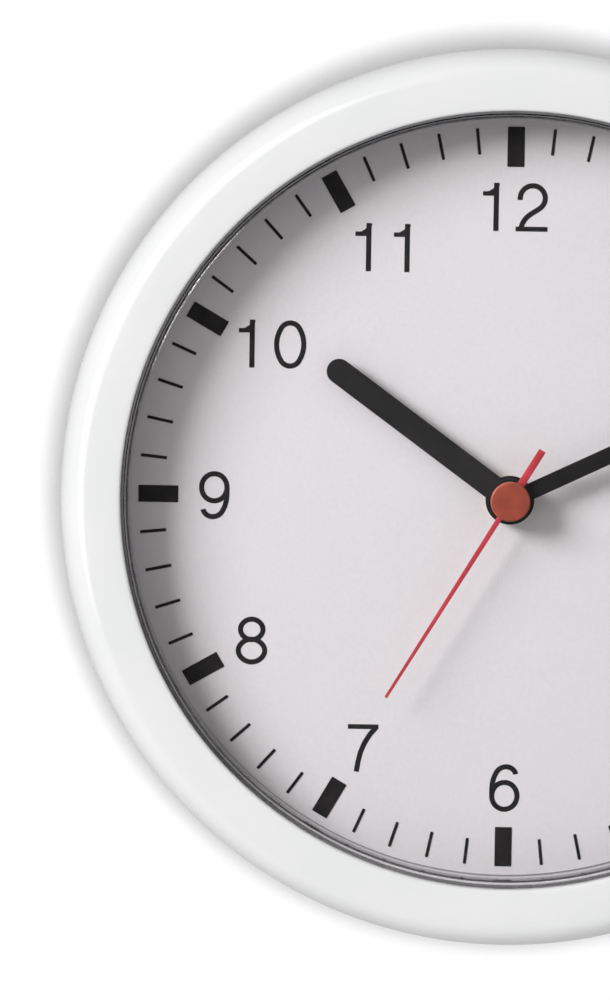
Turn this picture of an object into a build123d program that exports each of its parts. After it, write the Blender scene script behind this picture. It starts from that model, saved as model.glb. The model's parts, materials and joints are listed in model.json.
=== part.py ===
from build123d import *
import os
from math import cos, radians, sin

# Round plastic wall clock with a quartz movement, in millimetres.
# Frame: the clock faces -Y and hangs on a wall at Y = 0, +Z is up, and the Y axis is the hands' axis.
# A "height" is a distance forward from the wall, so height h lies at Y = -h, which is
# Plane.XZ.offset(h) with its local x along X and its local y along Z.

# ---------------------------------------------------------------- driving dimensions
CLOCK_RADIUS = 125.0        # outside of the bezel
OPENING_RADIUS = 108.0      # inside edge of the bezel
CREST_RADIUS = 118.0        # where the bezel is deepest
CREST_HEIGHT = 35.0
LIP_HEIGHT = 34.5           # the face falls only half a millimetre from crest to lip
FACE_MIDDLE = (113.4, 34.86)  # radius and height half way across the face
LIP_ROUND = 0.9             # width and depth of the rounding at the opening
LIP_DEPTH = 1.1
LIP_BULGE = (0.2, 0.35)     # how far the rounding's middle lies in from those two
INNER_SHOULDER = (120.8, 30.6)  # corner of the hollow under the rolled edge
ROLL_HEIGHT = 11.0          # height of the rounded outer edge
BEZEL_WALL = 2.2
BEZEL_FOOT = 10.0           # rear edge of the bezel's outer wall

BACK_FACE = 2.5             # the back wall is set in from the wall plane
BACK_WALL = 2.0
CASE_RADIUS = 120.6
FLANGE_RADIUS = 122.6
LEDGE_RADIUS = 112.0        # outside of the ring that carries the dial

DIAL_RADIUS = 111.6
DIAL_FRONT = 20.0
DIAL_THICKNESS = 1.5
DIAL_BACK = DIAL_FRONT - DIAL_THICKNESS

LENS_INSIDE = 31.0          # height of the lens's inner face
LENS_THICKNESS = 1.8
LENS_SKIRT_RADIUS = 107.3
LENS_SKIRT_WALL = 1.3
LENS_OUTER_CORNER = 2.4
LENS_INNER_CORNER = 1.0
LENS_FLANGE_RADIUS = DIAL_RADIUS - 0.6
LENS_FLANGE = 1.5

HANGER_Z = 88.0             # centre of the keyhole's round entry
HANGER_ENTRY_RADIUS = 4.5
HANGER_SLOT_WIDTH = 4.6
HANGER_SLOT_LENGTH = 9.5
HANGER_PAD = 1.0

SCREW_CIRCLE = 115.2
SCREW_COUNT = 4
SCREW_SHANK = 1.4
SCREW_HEAD = 2.8
SCREW_HEAD_HEIGHT = 1.5
SCREW_LENGTH = 11.0         # of the shank, forward from the back wall's face
SCREW_CROSS = (3.2, 0.7, 0.9)  # length, width and depth of the driver's cross
POST_RADIUS = 2.8
POST_END = CREST_HEIGHT - 1.4
POST_BORE_DEPTH = 12.0

# movement housing: 56 mm square, with the battery bay below the hands' axis
HOUSING_HALF = 28.0
HOUSING_TOP = 26.0
HOUSING_BOTTOM = HOUSING_TOP - 2 * HOUSING_HALF
HOUSING_REAR = 1.7
HOUSING_FRONT = 17.7
SHELL = 1.2
COVER_FRONT = 3.2           # front face of the rear cover
CAVITY_FRONT = 16.2         # inner face of the front wall
BAY_FLOOR = 16.8
PARTITION_TOP = -12.6
PARTITION_BOTTOM = PARTITION_TOP - SHELL
PLATE_FRONT = 4.4           # front face of the gear plate

BUSH_RADIUS = 3.9
BUSH_BORE = 2.56
BUSH_END = 22.5

# battery: one AA cell lying along X
CELL_Z = -21.3
CELL_HEIGHT = 9.25
CELL_RADIUS = 7.15
CELL_CAN_RADIUS = 6.9
CELL_LEFT = -25.3
CELL_RIGHT = 24.2
CELL_CAP_RADIUS = 2.75
CELL_CAP_LENGTH = 1.0

# wheel train: each pair is (driving pinion or wheel teeth, driven teeth, module)
ROTOR_TEETH = 12
FIFTH_TEETH = 72
ROTOR_MODULE = 0.22
FIFTH_PINION_TEETH = 12
SECOND_TEETH = 60
SECOND_MODULE = 0.36
SECOND_PINION_TEETH = 8
THIRD_TEETH = 60
THIRD_MODULE = 0.36
THIRD_PINION_TEETH = 8
CENTRE_TEETH = 64
CENTRE_MODULE = 0.34
CANNON_TEETH = 15
MOTION_TEETH = 45
MOTION_PINION_TEETH = 12
HOUR_TEETH = 48
MOTION_MODULE = 0.30
SETTING_TEETH = 15

THIRD_BEARING = 150.0       # directions of the arbors, counter-clockwise from +X seen from the front
FIFTH_BEARING = 45.0
ROTOR_BEARING = 35.0
MOTION_BEARING = -5.0
SETTING_BEARING = -20.0

PIVOT = 0.30
PIVOT_HOLE = 0.34
ARBOR = 0.50
PIVOT_END = 3.4             # rear end of every pivot in the gear plate
PIVOT_SHOULDER = 4.5
WHEEL_THICKNESS = 0.7
HUB = 1.4

# hands, as clockwise angles from twelve o'clock, and their lengths from the axis
HOUR_ANGLE = 306.2
MINUTE_ANGLE = 64.5
SECOND_ANGLE = 211.3
HOUR_LENGTH = 63.0
HOUR_WIDTH = 6.9
HOUR_HUB = 6.8
HOUR_HEIGHT = 22.9
HOUR_THICKNESS = 0.9
MINUTE_LENGTH = 92.0
MINUTE_WIDTH = 4.6
MINUTE_HUB = 6.1
MINUTE_HEIGHT = 24.9
MINUTE_THICKNESS = 0.8
SECOND_LENGTH = 64.8
SECOND_TAIL = 16.7
SECOND_ROOT_WIDTH = 1.5
SECOND_TIP_WIDTH = 0.8
SECOND_TAIL_WIDTH = 2.1
SECOND_HEIGHT = 27.0
SECOND_THICKNESS = 0.4
CAP_RADIUS = 5.5
CAP_THICKNESS = 1.9
HAND_SEAT_CLEARANCE = 0.02


# ---------------------------------------------------------------- helpers
def polar(radius, angle):
    """A point of the front view at an angle counter-clockwise from +X."""
    return (radius * cos(radians(angle)), radius * sin(radians(angle)))


def beside(origin, distance, bearing):
    """The axis that lies at a distance and bearing from another axis."""
    step = polar(distance, bearing)
    return (origin[0] + step[0], origin[1] + step[1])


# The sketches in these helpers are handed to their operation by name, because a sketch made in a
# function doesn't reach the part outside it by itself.
def disc(low, high, radius, at=(0, 0), mode=Mode.ADD):
    """A round slice between two heights, added to or cut from the part being made."""
    with BuildSketch(Plane.XZ.offset(low)) as layer:
        with Locations(at):
            Circle(radius)
    extrude(layer.sketch, amount=high - low, mode=mode)


def slab(low, high, left, right, bottom, top, mode=Mode.ADD, corner=0):
    """A rectangular slice between two heights, with its corners rounded where asked."""
    with BuildSketch(Plane.XZ.offset(low)) as layer:
        with Locations(((left + right) / 2, (bottom + top) / 2)):
            if corner:
                RectangleRounded(right - left, top - bottom, corner)
            else:
                Rectangle(right - left, top - bottom)
    extrude(layer.sketch, amount=high - low, mode=mode)


def outline(low, high, points, mode=Mode.ADD):
    """A slice between two heights with a straight-sided outline."""
    with BuildSketch(Plane.XZ.offset(low)) as layer:
        Polygon(*points, align=None)
    extrude(layer.sketch, amount=high - low, mode=mode)


def turned(points):
    """A turned shape about the Y axis from a closed section of (radius, height) points."""
    with BuildSketch(Plane.XY) as section:
        Polygon(*[(radius, -height) for radius, height in points], align=None)
    revolve(section.sketch, axis=Axis.Y)


ADDENDUM = 0.80             # tooth proportions, in modules
DEDENDUM = 1.15
TIP_SHARE = 0.16            # half tooth angles, in tooth pitches
PITCH_SHARE = 0.20
ROOT_SHARE = 0.24


def gear(low, high, teeth, module, phase, at=(0, 0)):
    """A spur gear slice: straight flanks with ample backlash, and one tooth centred on phase."""
    pitch_radius = teeth * module / 2
    step = 360 / teeth
    flank = (
        (pitch_radius - DEDENDUM * module, ROOT_SHARE),
        (pitch_radius, PITCH_SHARE),
        (pitch_radius + ADDENDUM * module, TIP_SHARE),
    )
    points = []
    for tooth in range(teeth):
        middle = phase + tooth * step
        points += [polar(radius, middle - share * step) for radius, share in flank]
        points += [polar(radius, middle + share * step) for radius, share in reversed(flank)]
    with BuildSketch(Plane.XZ.offset(low)) as layer:
        with Locations(at):
            Polygon(*points, align=None)
    extrude(layer.sketch, amount=high - low)


def meshing(phase, teeth, other_teeth, bearing):
    """Phase of a gear that meshes with another gear lying at a bearing from it."""
    return bearing + 180 - (phase - bearing) * teeth / other_teeth + 180 / other_teeth


def save(made, name):
    """Labels a finished piece and writes it."""
    made.part.label = name
    export_step(made.part, f"parts/{name}.step")


os.makedirs("parts", exist_ok=True)

# ---------------------------------------------------------------- axes of the train
CENTRE = (0.0, 0.0)
third_distance = (SECOND_PINION_TEETH + THIRD_TEETH) * THIRD_MODULE / 2
fifth_distance = (FIFTH_PINION_TEETH + SECOND_TEETH) * SECOND_MODULE / 2
rotor_distance = (ROTOR_TEETH + FIFTH_TEETH) * ROTOR_MODULE / 2
motion_distance = (CANNON_TEETH + MOTION_TEETH) * MOTION_MODULE / 2
setting_distance = (SETTING_TEETH + MOTION_TEETH) * MOTION_MODULE / 2

THIRD = beside(CENTRE, third_distance, THIRD_BEARING)
FIFTH = beside(CENTRE, fifth_distance, FIFTH_BEARING)
ROTOR = beside(FIFTH, rotor_distance, ROTOR_BEARING)
MOTION = beside(CENTRE, motion_distance, MOTION_BEARING)
SETTING = beside(MOTION, setting_distance, SETTING_BEARING)

second_phase = 0.0
fifth_pinion_phase = meshing(second_phase, SECOND_TEETH, FIFTH_PINION_TEETH, FIFTH_BEARING)
fifth_phase = 0.0
rotor_phase = meshing(fifth_phase, FIFTH_TEETH, ROTOR_TEETH, ROTOR_BEARING)
second_pinion_phase = 0.0
third_phase = meshing(second_pinion_phase, SECOND_PINION_TEETH, THIRD_TEETH, THIRD_BEARING)
centre_phase = 0.0
third_pinion_phase = meshing(centre_phase, CENTRE_TEETH, THIRD_PINION_TEETH, THIRD_BEARING)
cannon_phase = 0.0
motion_phase = meshing(cannon_phase, CANNON_TEETH, MOTION_TEETH, MOTION_BEARING)
setting_phase = meshing(motion_phase, MOTION_TEETH, SETTING_TEETH, SETTING_BEARING)
hour_phase = 0.0
motion_pinion_phase = meshing(hour_phase, HOUR_TEETH, MOTION_PINION_TEETH, MOTION_BEARING)

# heights of the wheels, rear to front
SECOND_PINION = (6.4, 8.0)
THIRD_WHEEL = 6.8
SECOND_WHEEL = 8.6
FIFTH_PINION = (8.3, 9.6)
FIFTH_WHEEL = 10.2
ROTOR_PINION = (10.0, 11.1)
THIRD_PINION = (11.3, 12.6)
CENTRE_WHEEL = 11.6
CANNON_PINION = (12.7, 14.0)
MOTION_WHEEL = 13.0
SETTING_PINION = (12.7, 14.0)
MOTION_PINION = (14.2, 15.5)
HOUR_WHEEL = 14.5
THIRD_BOSS = 12.9
FAST_BOSS = 11.3            # rear ends of the fifth wheel's and the rotor's bosses

# ---------------------------------------------------------------- rear case
MOVEMENT_WINDOW = 30.0      # half width of the window that the movement shows through
WINDOW_RIM = 1.6
LEDGE_INSIDE = 104.0
LEDGE_WALL = 2.2
wall_inside = CASE_RADIUS - BEZEL_WALL
back_inside = BACK_FACE + BACK_WALL
screw_places = [polar(SCREW_CIRCLE, 45 + 360 * n / SCREW_COUNT) for n in range(SCREW_COUNT)]

with BuildPart() as rear_case:
    turned([
        (0, BACK_FACE),
        (wall_inside, BACK_FACE),
        (wall_inside, 0),
        (CASE_RADIUS, 0),
        (CASE_RADIUS, BEZEL_FOOT),
        (FLANGE_RADIUS, BEZEL_FOOT),
        (FLANGE_RADIUS, BEZEL_FOOT + 2),
        (wall_inside, BEZEL_FOOT + 2),
        (wall_inside, back_inside),
        (LEDGE_RADIUS, back_inside),
        (LEDGE_RADIUS, DIAL_BACK),
        (LEDGE_INSIDE, DIAL_BACK),
        (LEDGE_INSIDE, DIAL_BACK - LEDGE_WALL),
        (LEDGE_RADIUS - LEDGE_WALL, DIAL_BACK - LEDGE_WALL),
        (LEDGE_RADIUS - LEDGE_WALL, back_inside),
        (0, back_inside),
    ])
    window_bottom = HOUSING_BOTTOM - 2
    window_top = HOUSING_TOP + 2
    frame_half = MOVEMENT_WINDOW + WINDOW_RIM
    slab(BACK_FACE, back_inside + 4, -frame_half, frame_half,
         window_bottom - WINDOW_RIM, window_top + WINDOW_RIM, corner=4)
    slab(BACK_FACE, back_inside + 4, -MOVEMENT_WINDOW, MOVEMENT_WINDOW,
         window_bottom, window_top, mode=Mode.SUBTRACT, corner=3)
    # keyhole for the wall screw: a round entry and a slot above it, in a thickened pad
    slab(back_inside, back_inside + HANGER_PAD, -9, 9,
         HANGER_Z - 9, HANGER_Z + HANGER_SLOT_LENGTH + 6, corner=5)
    disc(BACK_FACE, back_inside + HANGER_PAD, HANGER_ENTRY_RADIUS, (0, HANGER_Z), Mode.SUBTRACT)
    slab(BACK_FACE, back_inside + HANGER_PAD, -HANGER_SLOT_WIDTH / 2, HANGER_SLOT_WIDTH / 2,
         HANGER_Z, HANGER_Z + HANGER_SLOT_LENGTH, mode=Mode.SUBTRACT)
    disc(BACK_FACE, back_inside + HANGER_PAD, HANGER_SLOT_WIDTH / 2,
         (0, HANGER_Z + HANGER_SLOT_LENGTH), Mode.SUBTRACT)
    for place in screw_places:
        disc(BACK_FACE, back_inside, SCREW_SHANK + 0.3, place, Mode.SUBTRACT)
save(rear_case, "rear_case")

# ---------------------------------------------------------------- front bezel
shoulder = CREST_HEIGHT - ROLL_HEIGHT
with BuildPart() as front_bezel:
    with BuildSketch(Plane.XY):
        with BuildLine():
            outer_roll = EllipticalCenterArc(
                (CREST_RADIUS, -shoulder), CLOCK_RADIUS - CREST_RADIUS, ROLL_HEIGHT, arc_size=-90
            )
            face = ThreePointArc(
                outer_roll @ 1,
                (FACE_MIDDLE[0], -FACE_MIDDLE[1]),
                (OPENING_RADIUS + LIP_ROUND, -LIP_HEIGHT),
            )
            lip = ThreePointArc(
                face @ 1,
                (OPENING_RADIUS + LIP_BULGE[0], -LIP_HEIGHT + LIP_BULGE[1]),
                (OPENING_RADIUS, -LIP_HEIGHT + LIP_DEPTH),
            )
            Polyline(
                lip @ 1,
                (OPENING_RADIUS, -DIAL_FRONT - LENS_FLANGE),
                (OPENING_RADIUS + BEZEL_WALL, -DIAL_FRONT - LENS_FLANGE),
                (OPENING_RADIUS + BEZEL_WALL, -LIP_HEIGHT + BEZEL_WALL),
                (CREST_RADIUS - 0.5, -CREST_HEIGHT + BEZEL_WALL),
                (INNER_SHOULDER[0], -INNER_SHOULDER[1]),
                (CLOCK_RADIUS - BEZEL_WALL, -shoulder),
                (CLOCK_RADIUS - BEZEL_WALL, -BEZEL_FOOT),
                (CLOCK_RADIUS, -BEZEL_FOOT),
                outer_roll @ 0,
            )
        make_face()
    revolve(axis=Axis.Y)
    # screw posts inside the hollow ring, standing on the back wall
    for place in screw_places:
        disc(back_inside, POST_END, POST_RADIUS, place)
        disc(back_inside, back_inside + POST_BORE_DEPTH, SCREW_SHANK + 0.05, place, Mode.SUBTRACT)
save(front_bezel, "front_bezel")

# ---------------------------------------------------------------- lens: a shallow clear cup
lens_outside = LENS_INSIDE + LENS_THICKNESS
skirt_inside = LENS_SKIRT_RADIUS - LENS_SKIRT_WALL
with BuildPart() as lens:
    with BuildSketch(Plane.XY):
        with BuildLine():
            front = Line((0, -lens_outside), (LENS_SKIRT_RADIUS - LENS_OUTER_CORNER, -lens_outside))
            outer_corner = RadiusArc(
                front @ 1, (LENS_SKIRT_RADIUS, -lens_outside + LENS_OUTER_CORNER), LENS_OUTER_CORNER
            )
            wall = Polyline(
                outer_corner @ 1,
                (LENS_SKIRT_RADIUS, -DIAL_FRONT - LENS_FLANGE),
                (LENS_FLANGE_RADIUS, -DIAL_FRONT - LENS_FLANGE),
                (LENS_FLANGE_RADIUS, -DIAL_FRONT),
                (skirt_inside, -DIAL_FRONT),
                (skirt_inside, -LENS_INSIDE + LENS_INNER_CORNER),
            )
            inner_corner = RadiusArc(
                wall @ 1, (skirt_inside - LENS_INNER_CORNER, -LENS_INSIDE), -LENS_INNER_CORNER
            )
            Polyline(inner_corner @ 1, (0, -LENS_INSIDE), (0, -lens_outside))
        make_face()
    revolve(axis=Axis.Y)
save(lens, "lens")

# ---------------------------------------------------------------- dial plate
with BuildPart() as dial_plate:
    disc(DIAL_BACK, DIAL_FRONT, DIAL_RADIUS)
    disc(DIAL_BACK, DIAL_FRONT, BUSH_RADIUS + 0.1, mode=Mode.SUBTRACT)
save(dial_plate, "dial_plate")

# ---------------------------------------------------------------- case screws
with BuildPart() as case_screws:
    for place in screw_places:
        disc(BACK_FACE - SCREW_HEAD_HEIGHT, BACK_FACE, SCREW_HEAD, place)
        disc(BACK_FACE, BACK_FACE + SCREW_LENGTH, SCREW_SHANK, place)
        with BuildSketch(Plane.XZ.offset(BACK_FACE - SCREW_HEAD_HEIGHT)):
            with Locations(place):
                Rectangle(SCREW_CROSS[0], SCREW_CROSS[1])
                Rectangle(SCREW_CROSS[1], SCREW_CROSS[0])
        extrude(amount=SCREW_CROSS[2], mode=Mode.SUBTRACT)
save(case_screws, "case_screws")

# ---------------------------------------------------------------- movement: front housing
PILLARS = ((-24.3, -10.0), (24.3, -10.0), (24.6, 8.0), (-24.6, 8.6))
PILLAR_RADIUS = 1.6
inner_half = HOUSING_HALF - SHELL
inner_top = HOUSING_TOP - SHELL
inner_bottom = HOUSING_BOTTOM + SHELL

with BuildPart() as movement_front:
    slab(COVER_FRONT, HOUSING_FRONT, -HOUSING_HALF, HOUSING_HALF, HOUSING_BOTTOM, HOUSING_TOP, corner=3)
    with BuildSketch(Plane.XZ.offset(HOUSING_REAR)):
        with Locations((0, (HOUSING_BOTTOM + HOUSING_TOP) / 2)):
            RectangleRounded(2 * HOUSING_HALF, 2 * HOUSING_HALF, 3)
        with Locations((0, (PARTITION_BOTTOM + HOUSING_TOP) / 2)):
            Rectangle(2 * HOUSING_HALF + 2, HOUSING_TOP - PARTITION_BOTTOM, mode=Mode.SUBTRACT)
    extrude(amount=COVER_FRONT - HOUSING_REAR)
    slab(COVER_FRONT, CAVITY_FRONT, -inner_half, inner_half, PARTITION_TOP, inner_top, mode=Mode.SUBTRACT)
    slab(HOUSING_REAR, BAY_FLOOR, -inner_half, inner_half, inner_bottom, PARTITION_BOTTOM, mode=Mode.SUBTRACT)
    # notches that let the battery contacts through the partition
    for side in (-1, 1):
        edge = sorted((side * inner_half, side * (inner_half - 0.7)))
        slab(5.2, 12.3, edge[0], edge[1], PARTITION_BOTTOM, PARTITION_TOP, mode=Mode.SUBTRACT)
    # finger notch for taking the cell out
    slab(HOUSING_REAR, 7.0, -9, 9, HOUSING_BOTTOM, inner_bottom, mode=Mode.SUBTRACT)
    # clamped bush that passes through the dial
    disc(HOUSING_FRONT, BUSH_END, BUSH_RADIUS)
    disc(CAVITY_FRONT, BUSH_END, BUSH_BORE, mode=Mode.SUBTRACT)
    # bosses with blind pivot holes, the stud of the motion wheel and the pillars under the gear plate
    disc(THIRD_BOSS, CAVITY_FRONT, 1.5, THIRD)
    disc(THIRD_BOSS, THIRD_BOSS + 1.4, PIVOT_HOLE, THIRD, Mode.SUBTRACT)
    for arbor in (FIFTH, ROTOR):
        disc(FAST_BOSS, CAVITY_FRONT, 1.2, arbor)
        disc(FAST_BOSS, FAST_BOSS + 1.4, PIVOT_HOLE, arbor, Mode.SUBTRACT)
    disc(MOTION_WHEEL - 0.1, CAVITY_FRONT, 0.7, MOTION)
    disc(14.3, CAVITY_FRONT, 1.6, SETTING)
    disc(14.3, 15.3, 0.55, SETTING, Mode.SUBTRACT)
    for pillar in PILLARS:
        disc(PLATE_FRONT, CAVITY_FRONT, PILLAR_RADIUS, pillar)
save(movement_front, "movement_front")

# ---------------------------------------------------------------- movement: rear cover
KNOB_COLLAR = 2.0
KNOB_COLLAR_HOLE = 2.06
with BuildPart() as movement_back:
    slab(HOUSING_REAR, COVER_FRONT, -HOUSING_HALF, HOUSING_HALF, PARTITION_BOTTOM, HOUSING_TOP, corner=2)
    disc(HOUSING_REAR, COVER_FRONT, KNOB_COLLAR_HOLE, SETTING, Mode.SUBTRACT)
    # five shallow grooves moulded into the cover, which leave stiffening ribs between them
    for groove in range(5):
        middle = 8 + 3.2 * groove
        slab(HOUSING_REAR, HOUSING_REAR + 0.5, -22, 4, middle - 0.6, middle + 0.6, mode=Mode.SUBTRACT)
save(movement_back, "movement_back")

# ---------------------------------------------------------------- movement: gear plate
with BuildPart() as gear_plate:
    slab(COVER_FRONT, PLATE_FRONT, -inner_half + 0.1, inner_half - 0.1,
         PARTITION_TOP + 0.1, inner_top - 0.1, corner=1.5)
    for arbor in (CENTRE, THIRD, FIFTH, ROTOR):
        disc(COVER_FRONT, PLATE_FRONT, PIVOT_HOLE, arbor, Mode.SUBTRACT)
    disc(COVER_FRONT, PLATE_FRONT, KNOB_COLLAR_HOLE, SETTING, Mode.SUBTRACT)
save(gear_plate, "gear_plate")

# ---------------------------------------------------------------- stepping motor
STATOR_THICKNESS = 0.8
MAGNET_RADIUS = 2.6
MAGNET_HEIGHTS = (4.7, 7.0)
COIL_Z = 21.2
COIL_HEIGHT = 9.3
stator_front = PLATE_FRONT + STATOR_THICKNESS

with BuildPart() as stator:
    outline(PLATE_FRONT, stator_front, [
        (-3, 23.2), (-3, 15), (11.6, 15), (11.6, 9.4), (22, 9.4), (26, 12),
        (26, 23.2), (22, 23.2), (22, 18.6), (1, 18.6), (1, 23.2),
    ])
    disc(PLATE_FRONT, stator_front, MAGNET_RADIUS + 0.5, ROTOR, Mode.SUBTRACT)
    for notch in (30, 210):
        disc(PLATE_FRONT, stator_front, 0.4, beside(ROTOR, MAGNET_RADIUS + 0.5, notch), Mode.SUBTRACT)
save(stator, "stator")

with BuildPart() as coil_core:
    slab(COIL_HEIGHT - 0.6, COIL_HEIGHT + 0.6, -2.8, 25.6, COIL_Z - 1, COIL_Z + 1)
    for foot in (-2.8, 22.2):
        slab(stator_front, COIL_HEIGHT - 0.6, foot, foot + 3.4, COIL_Z - 1.6, COIL_Z + 1.6)
save(coil_core, "coil_core")

BOBBIN = (1.2, 21.6)
BOBBIN_CHEEK = 1.1
coil_axis = Plane(origin=(0, -COIL_HEIGHT, COIL_Z), x_dir=(0, 1, 0), z_dir=(1, 0, 0))
with BuildPart() as coil_bobbin:
    with BuildSketch(coil_axis.offset(BOBBIN[0])):
        Circle(1.7)
    extrude(amount=BOBBIN[1] - BOBBIN[0])
    for cheek in (BOBBIN[0], BOBBIN[1] - BOBBIN_CHEEK):
        with BuildSketch(coil_axis.offset(cheek)):
            Circle(3.2)
        extrude(amount=BOBBIN_CHEEK)
    with BuildSketch(coil_axis.offset(BOBBIN[0])):
        Rectangle(1.3, 2.1)
    extrude(amount=BOBBIN[1] - BOBBIN[0], mode=Mode.SUBTRACT)
save(coil_bobbin, "coil_bobbin")

with BuildPart() as coil_winding:
    with BuildSketch(coil_axis.offset(BOBBIN[0] + BOBBIN_CHEEK)):
        Circle(2.9)
        Circle(1.72, mode=Mode.SUBTRACT)
    extrude(amount=BOBBIN[1] - BOBBIN[0] - 2 * BOBBIN_CHEEK)
save(coil_winding, "coil_winding")

with BuildPart() as rotor_magnet:
    disc(*MAGNET_HEIGHTS, MAGNET_RADIUS, ROTOR)
    disc(*MAGNET_HEIGHTS, 0.62, ROTOR, Mode.SUBTRACT)
save(rotor_magnet, "rotor_magnet")

with BuildPart() as rotor_pinion:
    disc(PIVOT_END, PIVOT_SHOULDER, PIVOT, ROTOR)
    disc(PIVOT_SHOULDER, ROTOR_PINION[0], 0.6, ROTOR)
    disc(MAGNET_HEIGHTS[1], MAGNET_HEIGHTS[1] + 0.4, HUB, ROTOR)
    gear(*ROTOR_PINION, ROTOR_TEETH, ROTOR_MODULE, rotor_phase, ROTOR)
    disc(ROTOR_PINION[1], FAST_BOSS + 1.1, PIVOT, ROTOR)
save(rotor_pinion, "rotor_pinion")

# ---------------------------------------------------------------- circuit board and what is on it
BOARD_FRONT = PLATE_FRONT + 1.0
with BuildPart() as circuit_board:
    outline(PLATE_FRONT, BOARD_FRONT, [
        (-25.5, 24.3), (-25.5, 11.5), (-22.4, 11.5), (-22.4, -12.2), (-19, -12.2),
        (-19, 11.5), (-4, 11.5), (-4, 24.3),
    ])
save(circuit_board, "circuit_board")

with BuildPart() as chip_blob:
    with BuildSketch(Plane.XZ.offset(BOARD_FRONT)):
        with Locations((-9.5, 19.5)):
            Circle(3.0)
    extrude(amount=1.1, taper=35)
save(chip_blob, "chip_blob")

CRYSTAL_RADIUS = 1.5
crystal_axis = Plane(origin=(0, -BOARD_FRONT - CRYSTAL_RADIUS, 22.3), x_dir=(0, 1, 0), z_dir=(1, 0, 0))
with BuildPart() as crystal_can:
    with BuildSketch(crystal_axis.offset(-24)):
        Circle(CRYSTAL_RADIUS)
    extrude(amount=6.2)
    fillet(crystal_can.faces().sort_by(Axis.X)[0].edges(), 0.5)
    with BuildSketch(crystal_axis.offset(-17.8)):
        with Locations((0, -0.5), (0, 0.5)):
            Circle(0.2)
    extrude(amount=1.6)
save(crystal_can, "crystal_can")

# ---------------------------------------------------------------- battery contacts
STRIP = 0.4
contact_face = inner_half - 0.5
cell_axis = Plane(origin=(0, -CELL_HEIGHT, CELL_Z), x_dir=(0, 1, 0), z_dir=(1, 0, 0))

with BuildPart() as negative_contact:
    slab(6.0, 12.2, -contact_face - STRIP, -contact_face, inner_bottom + 1, -10.5)
    slab(BOARD_FRONT, 7.6, -contact_face - STRIP, -contact_face, -12.0, 14.0)
    slab(BOARD_FRONT, BOARD_FRONT + STRIP, -contact_face, -23.6, 12.0, 14.0)
    # sprung bump against the flat end of the cell
    with BuildSketch(cell_axis.offset(-contact_face)):
        Circle(2.8)
    extrude(amount=contact_face + CELL_LEFT - 0.1, taper=40)
save(negative_contact, "negative_contact")

with BuildPart() as positive_contact:
    slab(6.0, 12.2, contact_face, contact_face + STRIP, inner_bottom + 1, -10.5)
    slab(BOARD_FRONT, 7.0, -20.6, contact_face, PARTITION_TOP + 0.1, PARTITION_TOP + 0.1 + STRIP)
    slab(6.0, 7.0, contact_face - 0.2, contact_face + STRIP, PARTITION_TOP + 0.1, -10.5)
    slab(BOARD_FRONT, BOARD_FRONT + STRIP, -22.0, -20.0, PARTITION_TOP + 0.5, -10.5)
    with BuildSketch(cell_axis.offset(contact_face)):
        Circle(2.0)
    extrude(amount=-(contact_face - CELL_RIGHT - CELL_CAP_LENGTH - 0.1))
save(positive_contact, "positive_contact")

# ---------------------------------------------------------------- battery
with BuildPart() as battery_can:
    with BuildSketch(cell_axis.offset(CELL_LEFT)):
        Circle(CELL_CAN_RADIUS)
    extrude(amount=CELL_RIGHT - 0.4 - CELL_LEFT)
save(battery_can, "battery_can")

with BuildPart() as battery_sleeve:
    with BuildSketch(cell_axis.offset(CELL_LEFT + 0.3)):
        Circle(CELL_RADIUS)
        Circle(CELL_CAN_RADIUS, mode=Mode.SUBTRACT)
    extrude(amount=CELL_RIGHT - CELL_LEFT - 0.3)
save(battery_sleeve, "battery_sleeve")

with BuildPart() as battery_cap:
    with BuildSketch(cell_axis.offset(CELL_RIGHT - 0.4)):
        Circle(5.2)
    extrude(amount=0.4)
    with BuildSketch(cell_axis.offset(CELL_RIGHT)):
        Circle(CELL_CAP_RADIUS)
    extrude(amount=CELL_CAP_LENGTH)
save(battery_cap, "battery_cap")

# ---------------------------------------------------------------- going train
with BuildPart() as fifth_wheel:
    disc(PIVOT_END, PIVOT_SHOULDER, PIVOT, FIFTH)
    disc(PIVOT_SHOULDER, FIFTH_PINION[0], ARBOR, FIFTH)
    gear(*FIFTH_PINION, FIFTH_PINION_TEETH, SECOND_MODULE, fifth_pinion_phase, FIFTH)
    disc(FIFTH_PINION[1], FIFTH_WHEEL + WHEEL_THICKNESS, HUB, FIFTH)
    gear(FIFTH_WHEEL, FIFTH_WHEEL + WHEEL_THICKNESS, FIFTH_TEETH, ROTOR_MODULE, fifth_phase, FIFTH)
    disc(FIFTH_WHEEL + WHEEL_THICKNESS, FAST_BOSS + 1.1, PIVOT, FIFTH)
save(fifth_wheel, "fifth_wheel")

SECOND_SEAT = 0.4
with BuildPart() as second_wheel:
    disc(PIVOT_END, PIVOT_SHOULDER, PIVOT)
    disc(PIVOT_SHOULDER, SECOND_HEIGHT, ARBOR)
    disc(SECOND_HEIGHT, SECOND_HEIGHT + 1.2, SECOND_SEAT)
    gear(*SECOND_PINION, SECOND_PINION_TEETH, THIRD_MODULE, second_pinion_phase)
    gear(SECOND_WHEEL, SECOND_WHEEL + WHEEL_THICKNESS, SECOND_TEETH, SECOND_MODULE, second_phase)
    disc(SECOND_WHEEL + WHEEL_THICKNESS, SECOND_WHEEL + WHEEL_THICKNESS + 0.8, HUB)
save(second_wheel, "second_wheel")

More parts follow.
